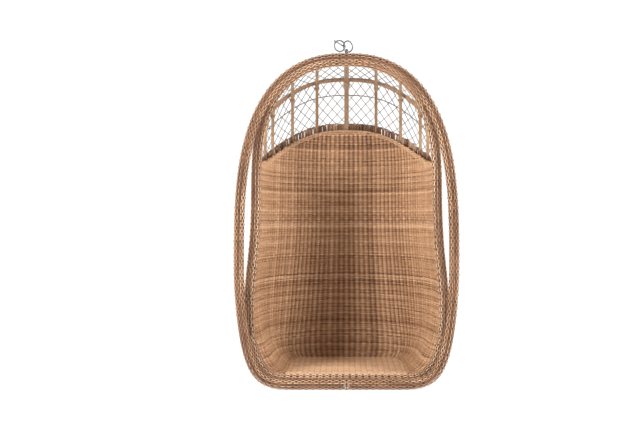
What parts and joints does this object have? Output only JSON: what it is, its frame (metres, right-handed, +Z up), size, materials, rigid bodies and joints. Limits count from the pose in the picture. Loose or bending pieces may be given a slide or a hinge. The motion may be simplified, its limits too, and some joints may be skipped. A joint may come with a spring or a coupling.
{
  "type": "hanging egg chair",
  "caption": "Egg-shaped woven rattan chair with an open hood of crossed canes and steel rings on its crown for hanging.",
  "frame": {"origin": "middle of the bounding box in plan, on the ground under the foot", "axes": "+Z up, -Y out of the chair's open front, X across it"},
  "size_m": [0.8591, 0.6895, 1.328],
  "materials": {
    "woven_wrap": "woven wicker strands, satin",
    "woven_reed": "woven round reed, matt",
    "cane": "split cane, satin",
    "peeled_pole": "peeled rattan pole, satin",
    "brown_pole": "rattan pole, satin",
    "steel": "plated, satin"
  },
  "bodies": {
    "chair": {"arch_lacing": "cane", "base_ring": "brown_pole", "cane_line": "cane", "centre_pole": "peeled_pole", "eye_nut": "steel", "eye_washer": "steel", "hanger_eye": "steel", "hoop_pole": "brown_pole", "hoop_screws": "steel", "hoop_wrap": "woven_wrap", "left_end_pole": "brown_pole", "left_inner_pole": "brown_pole", "left_outer_pole": "brown_pole", "left_side_pole": "brown_pole", "loop_trim": "cane", "lower_lattice": "cane", "middle_arch": "brown_pole", "pole_bindings": "cane", "right_end_pole": "brown_pole", "right_inner_pole": "brown_pole", "right_outer_pole": "brown_pole", "right_side_pole": "brown_pole", "rim_pole": "brown_pole", "rim_wrap": "woven_wrap", "seat_panel": "woven_reed", "seat_rails": "brown_pole", "shell_border": "cane", "shell_weave": "woven_reed", "upper_lattice": "cane"},
    "first_ring": {"first_ring": "steel"},
    "s_hook": {"s_hook": "steel"},
    "second_ring": {"second_ring": "steel"}
  },
  "joints": [
    {"name": "ring_swing", "type": "hinge", "parent": "chair", "child": "first_ring", "pos_m": [0, -0.324, 1.284], "axis": [0.8192, 0.5736, 0], "range_deg": [0, 60]},
    {"name": "hook_swing", "type": "hinge", "parent": "first_ring", "child": "s_hook", "pos_m": [-0.01118, -0.33183, 1.3035], "axis": [0, 0, 1], "range_deg": [-12, 0]},
    {"name": "second_ring_swing", "type": "hinge", "parent": "s_hook", "child": "second_ring", "pos_m": [-0.03979, -0.32902, 1.31942], "axis": [0.6645, 0.2418, 0.7071], "range_deg": [0, 30]}
  ]
}
